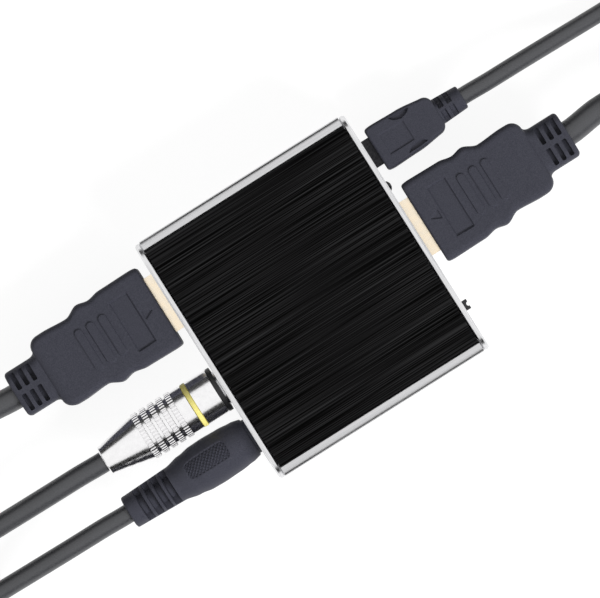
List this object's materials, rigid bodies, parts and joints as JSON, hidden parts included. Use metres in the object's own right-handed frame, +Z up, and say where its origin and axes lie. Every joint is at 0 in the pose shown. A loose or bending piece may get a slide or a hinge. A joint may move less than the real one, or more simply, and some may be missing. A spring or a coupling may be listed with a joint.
{
  "type": "hdmi audio extractor",
  "caption": "Flat metal video box with rounded silver case and black brushed panels, slide switch, button and plugged-in video, coaxial, headphone and power leads.",
  "frame": {"origin": "centre of the underside of the case, on the surface it stands on", "axes": "+X out of the input face with the small power socket, video input and slide switch; +Y across the case towards the power socket's side; +Z up out of the top panel"},
  "size_m": [0.4582, 0.06, 0.02],
  "materials": {
    "case_aluminium": "satin extruded aluminium, bare silver",
    "black_panel": "black anodised sheet, brushed along the case",
    "plate_aluminium": "satin silver plate",
    "screw_steel": "bright zinc",
    "board": "green solder mask",
    "chip_black": "moulded epoxy",
    "can_metal": "drawn can",
    "ferrite": "sintered ferrite",
    "socket_metal": "nickel plated steel",
    "socket_black": "moulded black plastic",
    "knob_black": "smooth black plastic",
    "dark_nickel": "black nickel plating",
    "tongue_white": "moulded white plastic",
    "cord_rubber": "smooth matt jacket",
    "grip_rubber": "fine grained moulded grip",
    "gold_plate": "thin gold plating",
    "barrel_chrome": "bright chrome",
    "band_yellow": "yellow marking ring"
  },
  "bodies": {
    "housing": {"case_shell": "case_aluminium", "top_panel": "black_panel", "bottom_panel": "black_panel", "end_plate_in": "plate_aluminium", "end_plate_out": "plate_aluminium", "end_plate_screws": "screw_steel", "circuit_board": "board", "video_chip": "chip_black", "audio_chip": "chip_black", "capacitors": "can_metal", "inductor": "ferrite", "crystal": "can_metal", "video_in_socket_shell": "socket_metal", "video_in_socket_tongue": "socket_black", "video_out_socket_shell": "socket_metal", "video_out_socket_tongue": "socket_black", "power_socket_shell": "socket_metal", "power_socket_tongue": "socket_black", "coax_socket_body": "socket_black", "coax_socket_sleeve": "socket_metal", "aux_socket_body": "socket_black", "switch_frame": "socket_metal", "button_base": "socket_black"},
    "switch": {"switch_knob": "knob_black"},
    "button": {"button_cap": "knob_black"},
    "video_in_lead": {"video_in_plug_grip": "grip_rubber", "video_in_plug_shell": "gold_plate", "video_in_plug_core": "socket_black", "video_in_cord": "cord_rubber", "video_in_far_grip": "grip_rubber", "video_in_far_shell": "gold_plate", "video_in_far_core": "socket_black"},
    "video_out_lead": {"video_out_plug_grip": "grip_rubber", "video_out_plug_shell": "gold_plate", "video_out_plug_core": "socket_black", "video_out_cord": "cord_rubber", "video_out_far_grip": "grip_rubber", "video_out_far_shell": "gold_plate", "video_out_far_core": "socket_black"},
    "power_lead": {"power_plug_grip": "grip_rubber", "power_plug_shell": "dark_nickel", "power_cord": "cord_rubber", "power_far_grip": "grip_rubber", "power_far_shell": "socket_metal", "power_far_tongue": "tongue_white"},
    "coax_lead": {"coax_plug_barrel": "barrel_chrome", "coax_plug_band": "band_yellow", "coax_plug_core": "socket_black", "coax_plug_pin": "gold_plate", "coax_cord": "cord_rubber", "coax_far_barrel": "barrel_chrome", "coax_far_band": "band_yellow", "coax_far_core": "socket_black", "coax_far_pin": "gold_plate"},
    "aux_lead": {"aux_plug_grip": "grip_rubber", "aux_plug_pin": "gold_plate", "aux_cord": "cord_rubber", "aux_far_grip": "grip_rubber", "aux_far_pin": "gold_plate"}
  },
  "joints": [
    {"name": "switch_slide", "type": "slide", "parent": "housing", "child": "switch", "axis": [0, 1, 0], "range_m": [-0.002, 0.002]},
    {"name": "button_press", "type": "slide", "parent": "housing", "child": "button", "axis": [-1, 0, 0], "range_m": [0, 0.00035], "stiffness_N_per_m": 300, "springref_m": -0.001},
    {"name": "video_in_pull", "type": "slide", "parent": "housing", "child": "video_in_lead", "axis": [1, 0, 0], "range_m": [0, 0.013]},
    {"name": "power_pull", "type": "slide", "parent": "housing", "child": "power_lead", "axis": [1, 0, 0], "range_m": [0, 0.008]},
    {"name": "video_out_pull", "type": "slide", "parent": "housing", "child": "video_out_lead", "axis": [-1, 0, 0], "range_m": [0, 0.013]},
    {"name": "coax_pull", "type": "slide", "parent": "housing", "child": "coax_lead", "axis": [-1, 0, 0], "range_m": [0, 0.016]},
    {"name": "aux_pull", "type": "slide", "parent": "housing", "child": "aux_lead", "axis": [-1, 0, 0], "range_m": [0, 0.015]}
  ]
}
